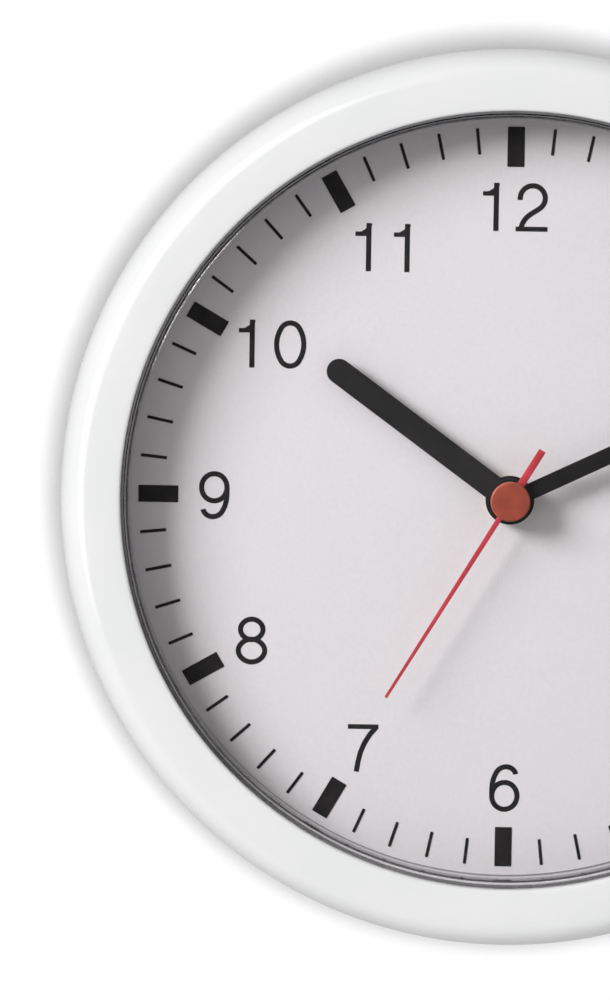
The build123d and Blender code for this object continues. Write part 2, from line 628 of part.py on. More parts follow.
with BuildPart() as third_wheel:
    disc(PIVOT_END, PIVOT_SHOULDER, PIVOT, THIRD)
    disc(PIVOT_SHOULDER, THIRD_PINION[0], ARBOR, THIRD)
    disc(THIRD_WHEEL - 0.3, THIRD_WHEEL + WHEEL_THICKNESS + 0.3, HUB, THIRD)
    gear(THIRD_WHEEL, THIRD_WHEEL + WHEEL_THICKNESS, THIRD_TEETH, THIRD_MODULE, third_phase, THIRD)
    gear(*THIRD_PINION, THIRD_PINION_TEETH, CENTRE_MODULE, third_pinion_phase, THIRD)
    disc(THIRD_PINION[1], THIRD_BOSS + 1.1, PIVOT, THIRD)
save(third_wheel, "third_wheel")

CANNON_RADIUS = 1.6
CANNON_SEAT = 1.4
CANNON_REAR = 11.0
with BuildPart() as centre_wheel:
    gear(CENTRE_WHEEL, CENTRE_WHEEL + WHEEL_THICKNESS, CENTRE_TEETH, CENTRE_MODULE, centre_phase)
    disc(CENTRE_WHEEL - 0.3, CENTRE_WHEEL + WHEEL_THICKNESS + 0.3, 3.0)
    disc(CENTRE_WHEEL - 0.3, CENTRE_WHEEL + WHEEL_THICKNESS + 0.3, CANNON_RADIUS + 0.04, mode=Mode.SUBTRACT)
save(centre_wheel, "centre_wheel")

# ---------------------------------------------------------------- motion work
with BuildPart() as cannon_pinion:
    disc(CANNON_REAR, MINUTE_HEIGHT, CANNON_RADIUS)
    disc(MINUTE_HEIGHT, MINUTE_HEIGHT + MINUTE_THICKNESS + 0.2, CANNON_SEAT)
    gear(*CANNON_PINION, CANNON_TEETH, MOTION_MODULE, cannon_phase)
    disc(CANNON_REAR, MINUTE_HEIGHT + MINUTE_THICKNESS + 0.2, ARBOR + 0.05, mode=Mode.SUBTRACT)
save(cannon_pinion, "cannon_pinion")

with BuildPart() as motion_wheel:
    disc(MOTION_WHEEL, MOTION_PINION[1] + 0.3, 1.2, MOTION)
    gear(MOTION_WHEEL, MOTION_WHEEL + WHEEL_THICKNESS, MOTION_TEETH, MOTION_MODULE, motion_phase, MOTION)
    gear(*MOTION_PINION, MOTION_PINION_TEETH, MOTION_MODULE, motion_pinion_phase, MOTION)
    disc(MOTION_WHEEL, MOTION_PINION[1] + 0.3, 0.75, MOTION, Mode.SUBTRACT)
save(motion_wheel, "motion_wheel")

HOUR_PIPE = 2.5
HOUR_SEAT = 2.3
with BuildPart() as hour_wheel:
    disc(HOUR_WHEEL - 0.3, HOUR_HEIGHT, HOUR_PIPE)
    disc(HOUR_HEIGHT, HOUR_HEIGHT + HOUR_THICKNESS, HOUR_SEAT)
    gear(HOUR_WHEEL, HOUR_WHEEL + WHEEL_THICKNESS, HOUR_TEETH, MOTION_MODULE, hour_phase)
    disc(HOUR_WHEEL - 0.3, HOUR_HEIGHT + HOUR_THICKNESS, CANNON_RADIUS + 0.06, mode=Mode.SUBTRACT)
save(hour_wheel, "hour_wheel")

KNOB_RADIUS = 4.4
KNOB_GROOVES = 20
with BuildPart() as setting_knob:
    disc(0.4, 1.5, KNOB_RADIUS, SETTING)
    with BuildSketch(Plane.XZ.offset(0.4)):
        with Locations(SETTING):
            with PolarLocations(KNOB_RADIUS + 0.15, KNOB_GROOVES):
                Circle(0.42)
    extrude(amount=1.1, mode=Mode.SUBTRACT)
    disc(1.5, PIVOT_SHOULDER + 0.2, KNOB_COLLAR, SETTING)
    disc(PIVOT_SHOULDER + 0.2, SETTING_PINION[0], 0.8, SETTING)
    gear(*SETTING_PINION, SETTING_TEETH, MOTION_MODULE, setting_phase, SETTING)
    disc(SETTING_PINION[1], 15.1, ARBOR, SETTING)
save(setting_knob, "setting_knob")

# ---------------------------------------------------------------- what clamps the movement to the dial
with BuildPart() as rubber_washer:
    disc(HOUSING_FRONT, DIAL_BACK, 10)
    disc(HOUSING_FRONT, DIAL_BACK, BUSH_RADIUS + 0.1, mode=Mode.SUBTRACT)
save(rubber_washer, "rubber_washer")

WASHER_THICKNESS = 0.4
NUT_ACROSS_FLATS = 11.0
with BuildPart() as fixing_washer:
    disc(DIAL_FRONT, DIAL_FRONT + WASHER_THICKNESS, 6.4)
    disc(DIAL_FRONT, DIAL_FRONT + WASHER_THICKNESS, BUSH_RADIUS + 0.1, mode=Mode.SUBTRACT)
save(fixing_washer, "fixing_washer")

with BuildPart() as fixing_nut:
    with BuildSketch(Plane.XZ.offset(DIAL_FRONT + WASHER_THICKNESS)):
        RegularPolygon(NUT_ACROSS_FLATS / 2, 6, major_radius=False)
        Circle(BUSH_RADIUS + 0.02, mode=Mode.SUBTRACT)
    extrude(amount=1.8)
save(fixing_nut, "fixing_nut")


# ---------------------------------------------------------------- hands
def hand_plane(height, angle):
    """A plane at a height whose local y points along a hand set at a clockwise angle from twelve."""
    along = (sin(radians(angle)), 0, cos(radians(angle)))
    across = (along[2], 0, -along[0])
    return Plane(origin=(0, -height, 0), x_dir=across, z_dir=(0, -1, 0))


with BuildPart() as hour_hand:
    with BuildSketch(hand_plane(HOUR_HEIGHT, HOUR_ANGLE)):
        reach = HOUR_LENGTH - HOUR_WIDTH / 2
        with Locations((0, reach / 2)):
            Rectangle(HOUR_WIDTH, reach)
        with Locations((0, reach)):
            Circle(HOUR_WIDTH / 2)
        Circle(HOUR_HUB)
        Circle(HOUR_SEAT + HAND_SEAT_CLEARANCE, mode=Mode.SUBTRACT)
    extrude(amount=HOUR_THICKNESS)
save(hour_hand, "hour_hand")

with BuildPart() as minute_hand:
    with BuildSketch(hand_plane(MINUTE_HEIGHT, MINUTE_ANGLE)):
        reach = MINUTE_LENGTH - MINUTE_WIDTH / 2
        with Locations((0, reach / 2)):
            Rectangle(MINUTE_WIDTH, reach)
        with Locations((0, reach)):
            Circle(MINUTE_WIDTH / 2)
        Circle(MINUTE_HUB)
        Circle(CANNON_SEAT + HAND_SEAT_CLEARANCE, mode=Mode.SUBTRACT)
    extrude(amount=MINUTE_THICKNESS)
save(minute_hand, "minute_hand")

with BuildPart() as second_hand:
    with BuildSketch(hand_plane(SECOND_HEIGHT, SECOND_ANGLE)):
        Polygon(
            (-SECOND_TAIL_WIDTH / 2, -SECOND_TAIL),
            (SECOND_TAIL_WIDTH / 2, -SECOND_TAIL),
            (SECOND_TAIL_WIDTH / 2, 0),
            (SECOND_ROOT_WIDTH / 2, CAP_RADIUS),
            (SECOND_TIP_WIDTH / 2, SECOND_LENGTH),
            (-SECOND_TIP_WIDTH / 2, SECOND_LENGTH),
            (-SECOND_ROOT_WIDTH / 2, CAP_RADIUS),
            (-SECOND_TAIL_WIDTH / 2, 0),
            align=None,
        )
        Circle(3.0)
        Circle(SECOND_SEAT + HAND_SEAT_CLEARANCE, mode=Mode.SUBTRACT)
    extrude(amount=SECOND_THICKNESS)
save(second_hand, "second_hand")

cap_rear = SECOND_HEIGHT + SECOND_THICKNESS
with BuildPart() as hand_cap:
    disc(cap_rear, cap_rear + CAP_THICKNESS, CAP_RADIUS)
    fillet(hand_cap.faces().sort_by(Axis.Y)[0].edges(), 0.4)
    disc(cap_rear, cap_rear + 0.9, SECOND_SEAT + HAND_SEAT_CLEARANCE, mode=Mode.SUBTRACT)
save(hand_cap, "hand_cap")
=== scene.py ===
# %% [markdown]
# # A round quartz wall clock
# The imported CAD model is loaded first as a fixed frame: the clock faces -Y, hangs on a wall at
# y = 0, and its hands turn about the Y axis. Everything below either gives a CAD piece its finish
# or adds a finer piece that stands for a plain one. All sizes are in millimetres until `mm` turns
# them into Blender's metres, and a "height" is a distance forward from the wall.

# %% Load the frame
import bpy
import json
import math
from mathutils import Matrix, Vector

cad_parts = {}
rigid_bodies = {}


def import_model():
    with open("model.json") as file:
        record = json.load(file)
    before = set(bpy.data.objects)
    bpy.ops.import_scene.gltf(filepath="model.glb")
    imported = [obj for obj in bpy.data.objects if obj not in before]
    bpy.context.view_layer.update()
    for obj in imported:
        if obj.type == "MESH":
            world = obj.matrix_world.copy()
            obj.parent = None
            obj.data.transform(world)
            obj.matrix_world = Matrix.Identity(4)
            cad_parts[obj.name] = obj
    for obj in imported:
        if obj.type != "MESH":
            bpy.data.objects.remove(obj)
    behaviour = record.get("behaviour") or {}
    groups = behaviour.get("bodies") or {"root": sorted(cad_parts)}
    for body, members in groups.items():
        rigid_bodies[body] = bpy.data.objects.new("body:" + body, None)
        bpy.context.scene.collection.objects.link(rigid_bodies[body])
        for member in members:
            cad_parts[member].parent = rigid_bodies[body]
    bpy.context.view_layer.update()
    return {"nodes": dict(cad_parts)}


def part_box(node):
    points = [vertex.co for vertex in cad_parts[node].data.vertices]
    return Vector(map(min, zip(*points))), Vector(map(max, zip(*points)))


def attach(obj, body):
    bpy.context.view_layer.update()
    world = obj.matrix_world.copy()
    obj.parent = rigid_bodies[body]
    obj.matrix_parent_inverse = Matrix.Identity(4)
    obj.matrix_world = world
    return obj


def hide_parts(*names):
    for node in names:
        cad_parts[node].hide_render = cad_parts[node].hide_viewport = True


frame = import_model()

nodes = frame["nodes"]


# %% [markdown]
# ## Working by hand
# Most pieces of a clock are either turned (rings, cups, caps) or flat sheet with rounded edges
# (hands, printed marks). A turned piece starts as one point that is pulled along its section, and
# the section is then spun round the hands' axis. The helpers below are those hand movements:
# nothing selected, one point, pull, spin, close.

# %% Hand movements
def mm(*values):
    return [v / 1000 for v in values]


def nothing_selected():
    if bpy.context.object and bpy.context.object.mode != "OBJECT":
        bpy.ops.object.mode_set(mode="OBJECT")
    bpy.ops.object.select_all(action="DESELECT")


def one_point(x, height, z):
    """Edit mode: a small plane is merged to one selected point at this place."""
    bpy.ops.mesh.primitive_plane_add(size=0.001, location=mm(x, -height, z))
    bpy.ops.mesh.merge(type="CENTER")


def new_point(name, x, height, z=0.0):
    """A new piece that is only one point so far, left open in edit mode."""
    nothing_selected()
    bpy.ops.mesh.primitive_plane_add(size=0.001, location=(0, 0, 0))
    piece = bpy.context.object
    piece.name = name
    bpy.ops.object.mode_set(mode="EDIT")
    bpy.ops.mesh.select_all(action="SELECT")
    bpy.ops.mesh.merge(type="CENTER")
    bpy.ops.transform.translate(value=mm(x, -height, z))
    return piece


def pull(x, height, z=0.0):
    """Extrudes what is selected by this step, given as x, height and z."""
    bpy.ops.mesh.extrude_region_move(TRANSFORM_OT_translate={"value": mm(x, -height, z)})


def close_up(gap=0.002):
    """Edit mode: joins points that lie together and turns every face outwards."""
    bpy.ops.mesh.select_all(action="SELECT")
    bpy.ops.mesh.remove_doubles(threshold=gap / 1000)
    bpy.ops.mesh.normals_make_consistent(inside=False)
    bpy.ops.object.mode_set(mode="OBJECT")


def turn_clockwise(degrees):
    """Edit mode: turns what is selected round the hands' axis, clockwise seen from the front."""
    bpy.ops.transform.rotate(value=math.radians(-degrees), orient_axis="Y",
                             center_override=(0, 0, 0))


def smooth(piece, degrees=35):
    nothing_selected()
    piece.select_set(True)
    bpy.context.view_layer.objects.active = piece
    bpy.ops.object.shade_smooth_by_angle(angle=math.radians(degrees))


def corner(radius, height, bend, start, end, steps=6):
    """Points of a rounded corner: its centre, its bend radius, and its directions in degrees."""
    turn = [math.radians(start + (end - start) * i / steps) for i in range(steps + 1)]
    return [(radius + bend * math.cos(t), height + bend * math.sin(t)) for t in turn]


def turned(name, section, steps=192, at=(0.0, 0.0)):
    """A turned piece: the section, as (radius, height) points, spun round an axis along Y."""
    piece = new_point(name, at[0] + section[0][0], section[0][1], at[1])
    loop = list(section[1:]) + ([section[0]] if section[0][0] > 0 else [])
    last = section[0]
    for radius, height in loop:
        pull(radius - last[0], height - last[1])
        last = (radius, height)
    bpy.ops.mesh.select_all(action="SELECT")
    bpy.ops.mesh.spin(steps=steps, angle=math.tau, center=mm(at[0], 0, at[1]), axis=(0, 1, 0))
    close_up()
    smooth(piece)
    print(name, "faces", len(piece.data.polygons))
    return piece


def apply_all(piece):
    nothing_selected()
    piece.select_set(True)
    bpy.context.view_layer.objects.active = piece
    for modifier in list(piece.modifiers):
        bpy.ops.object.modifier_apply(modifier=modifier.name)
    bpy.ops.object.transform_apply(location=True, rotation=True, scale=True)


def join(name, pieces):
    nothing_selected()
    for piece in pieces:
        piece.select_set(True)
    bpy.context.view_layer.objects.active = pieces[0]
    bpy.ops.object.join()
    pieces[0].name = name
    return pieces[0]


# %% [markdown]
# ## Finishes
# A finish is a Principled shader with three slow or fine patterns laid over it: a patchy change of
# colour, a change of roughness, and a fine relief. Moulded plastic, paint and printed sheet differ
# mainly in how large and how strong those patterns are, so one builder makes them all. Patterns
# read Object coordinates, which are metres here, so their sizes are given in millimetres.

# %% A general finish
def pattern(tree, size, detail=4.0, stretch=None):
    """A noise pattern whose patches are about `size` mm, on Object coordinates."""
    place = tree.nodes.new("ShaderNodeTexCoord")
    noise = tree.nodes.new("ShaderNodeTexNoise")
    noise.inputs["Scale"].default_value = 1000.0 / size
    noise.inputs["Detail"].default_value = detail
    noise.inputs["Roughness"].default_value = 0.55
    source = place.outputs["Object"]
    if stretch:
        mapping = tree.nodes.new("ShaderNodeMapping")
        mapping.inputs["Scale"].default_value = stretch
        tree.links.new(source, mapping.inputs["Vector"])
        source = mapping.outputs["Vector"]
    tree.links.new(source, noise.inputs["Vector"])
    return noise.outputs["Fac"]


def spread(tree, source, low, high, start=0.35, stop=0.65):
    """Stretches a pattern's middle range to run from low to high."""
    ramp = tree.nodes.new("ShaderNodeMapRange")
    ramp.inputs["From Min"].default_value = start
    ramp.inputs["From Max"].default_value = stop
    ramp.inputs["To Min"].default_value = low
    ramp.inputs["To Max"].default_value = high
    tree.links.new(source, ramp.inputs["Value"])
    return ramp.outputs["Result"]


FACTOR, COLOUR_A, COLOUR_B = 0, 6, 7   # where a Mix node keeps its sockets for colours
MIXED_COLOUR = 2


def mix_colours(tree, factor, first, second, blend="MIX"):
    """Runs from first to second. Each is a fixed colour or the output of another node."""
    mix = tree.nodes.new("ShaderNodeMix")
    mix.data_type = "RGBA"
    mix.blend_type = blend
    tree.links.new(factor, mix.inputs[FACTOR])
    for place, colour in ((COLOUR_A, first), (COLOUR_B, second)):
        if isinstance(colour, tuple):
            mix.inputs[place].default_value = (*colour, 1.0)
        else:
            tree.links.new(colour, mix.inputs[place])
    return mix.outputs[MIXED_COLOUR]


def opened(material):
    """A material's node tree, and the Principled shader in it."""
    return material.node_tree, material.node_tree.nodes["Principled BSDF"]


def colour_so_far(shader):
    return shader.inputs["Base Color"].links[0].from_socket


def relief(tree, source, depth, shader):
    """Fine relief: depth is in millimetres."""
    bump = tree.nodes.new("ShaderNodeBump")
    bump.inputs["Strength"].default_value = 1.0
    bump.inputs["Distance"].default_value = depth / 1000
    tree.links.new(source, bump.inputs["Height"])
    tree.links.new(bump.outputs["Normal"], shader.inputs["Normal"])


def finish(name, colour, shade, rough, patch=12.0, grain=0.5, depth=0.01, metal=0.0,
           stretch=None, gloss=0.5):
    """colour and shade are the lightest and darkest the surface gets, rough the range of its
    roughness, patch and grain the sizes of its colour patches and its relief in millimetres."""
    material = bpy.data.materials.new(name)
    material.use_nodes = True
    tree, shader = opened(material)
    shader.inputs["Metallic"].default_value = metal
    shader.inputs["Specular IOR Level"].default_value = gloss
    patches = pattern(tree, patch, stretch=stretch)
    grains = pattern(tree, grain, detail=3.0, stretch=stretch)
    tree.links.new(mix_colours(tree, spread(tree, patches, 0, 1), colour, shade),
                   shader.inputs["Base Color"])
    tree.links.new(spread(tree, grains, rough[0], rough[1]), shader.inputs["Roughness"])
    relief(tree, grains, depth, shader)
    return material


# %% [markdown]
# ### The plastics, metals and prints of this clock
# The bezel is polished white polystyrene; the rear pan is the same plastic with a satin skin; the
# movement is black ABS with a spark-eroded grain; gears are natural acetal; the hands are black
# and red paint on aluminium. Each gets its own tone, grain and gloss.

# %% Finishes by name
FINISHES = {
    "bezel_white": finish("bezel_white", (0.80, 0.80, 0.80), (0.77, 0.775, 0.775), (0.13, 0.22),
                          patch=30, grain=2.4, depth=0.004),
    "case_white": finish("case_white", (0.735, 0.735, 0.725), (0.72, 0.72, 0.71), (0.42, 0.56),
                         patch=18, grain=0.35, depth=0.018),
    "plated_steel": finish("plated_steel", (0.60, 0.60, 0.61), (0.44, 0.44, 0.46), (0.20, 0.36),
                           patch=3, grain=0.25, depth=0.004, metal=1.0, stretch=(1, 6, 6)),
    "brass": finish("brass", (0.76, 0.58, 0.27), (0.58, 0.41, 0.16), (0.24, 0.40),
                    patch=2.5, grain=0.2, depth=0.005, metal=1.0),
    "black_rubber": finish("black_rubber", (0.022, 0.022, 0.023), (0.045, 0.045, 0.044),
                           (0.70, 0.88), patch=4, grain=0.3, depth=0.02),
    "movement_black": finish("movement_black", (0.022, 0.022, 0.024), (0.034, 0.034, 0.036),
                             (0.38, 0.60), patch=7, grain=0.28, depth=0.03),
    "gear_plastic": finish("gear_plastic", (0.78, 0.76, 0.68), (0.66, 0.64, 0.56),
                           (0.30, 0.46), patch=4, grain=0.4, depth=0.006),
    "board_green": finish("board_green", (0.02, 0.16, 0.07), (0.01, 0.09, 0.04), (0.22, 0.42),
                          patch=3, grain=0.3, depth=0.01),
    "black_resin": finish("black_resin", (0.012, 0.012, 0.012), (0.03, 0.03, 0.03),
                          (0.18, 0.34), patch=2, grain=0.8, depth=0.02),
    "magnet_grey": finish("magnet_grey", (0.10, 0.10, 0.11), (0.05, 0.05, 0.055), (0.5, 0.7),
                          patch=1.2, grain=0.2, depth=0.02),
    "hand_black": finish("hand_black", (0.010, 0.009, 0.009), (0.016, 0.014, 0.015),
                         (0.46, 0.62), patch=9, grain=0.35, depth=0.006, gloss=0.22),
    "hand_red": finish("hand_red", (0.62, 0.050, 0.075), (0.50, 0.038, 0.050), (0.34, 0.48),
                       patch=6, grain=0.3, depth=0.004),
    "cap_red": finish("cap_red", (0.385, 0.072, 0.038), (0.31, 0.056, 0.031), (0.34, 0.50),
                      patch=5, grain=0.45, depth=0.008),
    "knob_black": finish("knob_black", (0.030, 0.030, 0.032), (0.018, 0.018, 0.020),
                         (0.40, 0.58), patch=4, grain=0.25, depth=0.02),
    "ink_black": finish("ink_black", (0.014, 0.012, 0.013), (0.023, 0.020, 0.021), (0.52, 0.70),
                        patch=5, grain=0.12, depth=0.004, gloss=0.15),
}
print("finishes:", sorted(FINISHES))


# %% [markdown]
# ### The dial sheet
# The dial is a printed sheet of matt card on a plate. It isn't pure white: it has a cool lilac
# tint and, from near, the fine speckle of the printing screen. The general finish with very small
# patches makes that speckle, and a slow pattern over it shifts the tone a little across the sheet.

# %% Dial card
def dial_card():
    material = finish("dial_card", (0.862, 0.812, 0.826), (0.818, 0.774, 0.784), (0.62, 0.80),
                      patch=0.9, grain=0.22, depth=0.012, gloss=0.3)
    tree, shader = opened(material)
    slow = spread(tree, pattern(tree, 45, detail=2.0), 0.0, 0.45)
    toned = mix_colours(tree, slow, colour_so_far(shader), (0.965, 0.960, 0.955), "MULTIPLY")
    tree.links.new(toned, shader.inputs["Base Color"])
    return material


FINISHES["dial_card"] = dial_card()


# %% [markdown]
# ### Painted shade in the gap beside the lens
# The ring's inner wall stands less than a millimetre from the lens, in a narrow slot that little
# light reaches. Ambient Occlusion tells how shut in a point is, so it paints shade into the
# plastic's colour in that slot and nowhere else.

# %% Paint shade into the slot
def open_air(tree, reach):
    """Near 1 where nothing stands within reach, in millimetres, and lower the more does."""
    near = tree.nodes.new("ShaderNodeAmbientOcclusion")
    near.inputs["Distance"].default_value = reach / 1000
    near.samples = 8
    return near.outputs["AO"]


def paint_shade_in_slot(material, reach):
    """Paints shade into a finish's colour where other surfaces stand within reach, in millimetres.
    """
    tree, shader = opened(material)
    unshaded_share = spread(tree, open_air(tree, reach), 0.0, 1.0, 0.30, 0.62)
    # painted shade: the colour runs to near black where the slot is shut in
    shaded = mix_colours(tree, unshaded_share, (0.012, 0.012, 0.013), colour_so_far(shader))
    tree.links.new(shaded, shader.inputs["Base Color"])


# painted shade in the bezel's slot beside the lens
paint_shade_in_slot(FINISHES["bezel_white"], 2.5)


# %% [markdown]
# ### Clear plastic
# The lens is clear polystyrene, which bends light more than window glass. Real glass in a path
# tracer keeps lamps from lighting what is behind it, so for the rays that carry lamplight and for
# those that leave a matt surface it is swapped for a Transparent shader of the same clearness.

# %% Clear lens
def clear_plastic():
    material = bpy.data.materials.new("clear_lens")
    material.use_nodes = True
    tree = material.node_tree
    shader = tree.nodes["Principled BSDF"]
    shader.inputs["Base Color"].default_value = (0.985, 0.99, 0.995, 1.0)
    shader.inputs["Transmission Weight"].default_value = 1.0
    shader.inputs["IOR"].default_value = 1.49
    shader.inputs["Roughness"].default_value = 0.0
    rays = tree.nodes.new("ShaderNodeLightPath")
    seen = shader.outputs[0]
    for kind in ("Is Shadow Ray", "Is Diffuse Ray"):
        through = tree.nodes.new("ShaderNodeBsdfTransparent")
        through.inputs["Color"].default_value = (0.955, 0.96, 0.965, 1.0)
        choice = tree.nodes.new("ShaderNodeMixShader")
        tree.links.new(rays.outputs[kind], choice.inputs[0])
        tree.links.new(seen, choice.inputs[1])
        tree.links.new(through.outputs[0], choice.inputs[2])
        seen = choice.outputs[0]
    tree.links.new(seen, tree.nodes["Material Output"].inputs["Surface"])
    return material


FINISHES["clear_lens"] = clear_plastic()


# %% [markdown]
# ### Copper winding and battery sleeve
# The coil is a few thousand turns of enamelled wire, finer than an eye can part. A Wave texture in
# bands across X shows it as copper rings, in colour and in relief. A wave repeats each 2 pi / 20
# of a unit, so a scale of 250 puts the rings 1.3 mm apart: much coarser than the wire, but clear.
# The battery's sleeve is plain grey film with one darker band at its positive end, the right one
# seen from the front, and no lettering.

# %% Winding and sleeve
def copper_winding():
    material = finish("copper_wire", (0.72, 0.30, 0.13), (0.50, 0.18, 0.07), (0.22, 0.36),
                      patch=1.5, grain=0.2, depth=0.004, metal=1.0)
    tree, shader = opened(material)
    place = tree.nodes.new("ShaderNodeTexCoord")
    rings = tree.nodes.new("ShaderNodeTexWave")
    rings.bands_direction = "X"
    rings.inputs["Scale"].default_value = 250.0
    rings.inputs["Distortion"].default_value = 0.3
    tree.links.new(place.outputs["Object"], rings.inputs["Vector"])
    copper = mix_colours(tree, rings.outputs["Fac"], (0.42, 0.14, 0.05), (0.76, 0.33, 0.15))
    tree.links.new(copper, shader.inputs["Base Color"])
    relief(tree, rings.outputs["Fac"], 0.05, shader)
    return material


BAND = 0.0105          # metres, the length of the sleeve's dark band
BAND_EDGE = 0.0003     # metres, over which its edge fades


def battery_film():
    material = finish("sleeve_grey", (0.34, 0.36, 0.37), (0.28, 0.30, 0.31), (0.24, 0.36),
                      patch=6, grain=0.6, depth=0.005, metal=0.35)
    tree, shader = opened(material)
    positive_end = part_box("battery_sleeve")[1].x
    place = tree.nodes.new("ShaderNodeTexCoord")
    axes = tree.nodes.new("ShaderNodeSeparateXYZ")
    tree.links.new(place.outputs["Object"], axes.inputs["Vector"])
    band = spread(tree, axes.outputs["X"], 0, 1,
                  positive_end - BAND - BAND_EDGE, positive_end - BAND)
    banded = mix_colours(tree, band, colour_so_far(shader), (0.055, 0.075, 0.070))
    tree.links.new(banded, shader.inputs["Base Color"])
    return material


FINISHES["copper_wire"] = copper_winding()
FINISHES["sleeve_grey"] = battery_film()
print("finishes in all:", len(FINISHES))


# %% [markdown]
# ### Every CAD piece gets its finish
# The record names a material slot for each CAD piece. Walking through the imported objects and
# reading the slot's name from their imported material keeps the two models in step.

# %% Finishes on the CAD pieces
def wear(piece, name):
    piece.data.materials.clear()
    piece.data.materials.append(FINISHES[name])


for name, piece in nodes.items():
    for place in piece.material_slots:
        slot_name = place.material.name.split(".")[0]
        if slot_name in FINISHES:
            place.material = FINISHES[slot_name]
        else:
            print("no finish for", name, slot_name)


# %% [markdown]
# ## The bezel
# One moulded ring: a straight outer wall, a soft roll up to its crest, a gently falling face, and
# a small rounded lip at the opening, hollow behind like any moulding. The CAD ring is made of flat
# facets that a glossy finish would show, so a finely turned one with the same section stands for
# it, with the four screw posts behind it.

# %% Turn the bezel
RIM, CREST, OPENING = 125.0, 118.0, 108.0                 # radii, from the outside in
REAR, ROLL_START, CREST_HEIGHT, LIP_HEIGHT = 10.0, 24.0, 35.0, 34.5
FACE_HEIGHT = 34.86                                       # halfway down the falling face
LIP_BEND = 1.0
LIP_REAR = 21.5                                           # rests on the lens's flange
HOLLOW_RIM = 122.8
ROLL_WIDTH = RIM - CREST
ROLL_DEPTH = CREST_HEIGHT - ROLL_START
roll = [(CREST + ROLL_WIDTH * math.cos(math.radians(a)),
         ROLL_START + ROLL_DEPTH * math.sin(math.radians(a))) for a in range(0, 91, 5)]


def bowed(first, halfway, last, steps):
    """Points of a slight bow from first to last that stands at height halfway in its middle."""
    points = []
    rise = halfway - (first[1] + last[1]) / 2
    for i in range(1, steps + 1):
        t = i / steps
        points.append((first[0] + (last[0] - first[0]) * t,
                       first[1] + (last[1] - first[1]) * t + 4 * rise * t * (1 - t)))
    return points


face = bowed((CREST, CREST_HEIGHT), FACE_HEIGHT, (OPENING + 0.9, LIP_HEIGHT), 12)
lip = corner(OPENING + LIP_BEND, LIP_HEIGHT - LIP_BEND, LIP_BEND, 100, 180)[1:]
behind_lip = [(OPENING, LIP_REAR), (OPENING + 1.6, LIP_REAR), (OPENING + 2.2, LIP_REAR + 0.6),
              (OPENING + 2.2, 31.6), (OPENING + 3.0, 32.4)]
hollow = [(116.5, 32.8), (119.5, 31.6), (HOLLOW_RIM - 1.0, 28.6), (HOLLOW_RIM, ROLL_START),
          (HOLLOW_RIM, REAR + 0.4), (HOLLOW_RIM + 0.4, REAR)]
bezel = turned("bezel_ring", [(RIM, REAR)] + roll + face + lip + behind_lip + hollow, steps=256)

# %% [markdown]
# Four posts inside the ring take the case screws. One post is a peg with a blind bore in its rear
# end. The same section is spun at each of the four places, and the posts are joined to the ring.

# %% Screw posts
POST_CIRCLE = 115.2
POST, POST_FRONT, POST_REAR = 2.8, 32.0, 4.8
BORE, BORE_END = 1.2, 9.0
post_section = [(0.0, POST_FRONT), (POST, POST_FRONT), (POST, POST_REAR + 0.4),
                (POST - 0.4, POST_REAR), (BORE + 0.3, POST_REAR), (BORE, POST_REAR + 0.5),
                (BORE, BORE_END), (0.0, BORE_END)]
posts = []
for a in (45, 135, 225, 315):
    x, z = POST_CIRCLE * math.cos(math.radians(a)), POST_CIRCLE * math.sin(math.radians(a))
    posts.append(turned(f"post_{a}", post_section, steps=24, at=(x, z)))
bezel = join("bezel_ring", [bezel] + posts)
wear(bezel, "bezel_white")
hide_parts("front_bezel")
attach(bezel, "case")


# %% [markdown]
# ## The lens
# A shallow clear cup: a flat window, a tight radius, and a skirt that goes down to the dial just
# inside the opening, with a flange that the ring holds. The skirt is what gives the thin bright and
# dark lines round the dial, so it has its true wall of clear plastic. The window's two faces have a
# ring of points halfway out, so that no face is a very long sliver.

# %% Turn the lens
DIAL = 20.0                               # height of the card's face
SKIRT, SKIRT_WALL, FLANGE = 107.3, 1.3, 111.0
WINDOW, WALL, HALFWAY = 32.8, 1.8, 60.0
OUTER_BEND, INNER_BEND = 2.4, 1.0
outside = ([(0.0, WINDOW), (HALFWAY, WINDOW)]
           + corner(SKIRT - OUTER_BEND, WINDOW - OUTER_BEND, OUTER_BEND, 90, 0, 10))
flange = [(SKIRT, LIP_REAR + 0.4), (SKIRT + 0.4, LIP_REAR), (FLANGE - 0.4, LIP_REAR),
          (FLANGE, LIP_REAR - 0.4), (FLANGE, DIAL), (SKIRT - SKIRT_WALL, DIAL)]
inside = (corner(SKIRT - SKIRT_WALL - INNER_BEND, WINDOW - WALL - INNER_BEND, INNER_BEND, 0, 90, 8)
          + [(HALFWAY, WINDOW - WALL), (0.0, WINDOW - WALL)])
cup = outside + flange + inside
lens = turned("lens_cup", cup, steps=256)
wear(lens, "clear_lens")
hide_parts("lens")
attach(lens, "case")


# %% [markdown]
# ## The printed marks
# Screen-printed ink is a thin layer on the card. One hour block and a group of four minute ticks
# are modelled, then copied round the dial with Spin's duplicate option, each copy real geometry in
# the same mesh, a few hundredths of a millimetre thick. The record has no slot for ink, so prints
# wear a black ink finish of their own.

# %% Hour blocks and minute ticks
INK = 0.035              # thickness
SOFT_EDGE = 0.12
MARKS_END = 103.55       # radius
PER_MINUTE = 6           # degrees


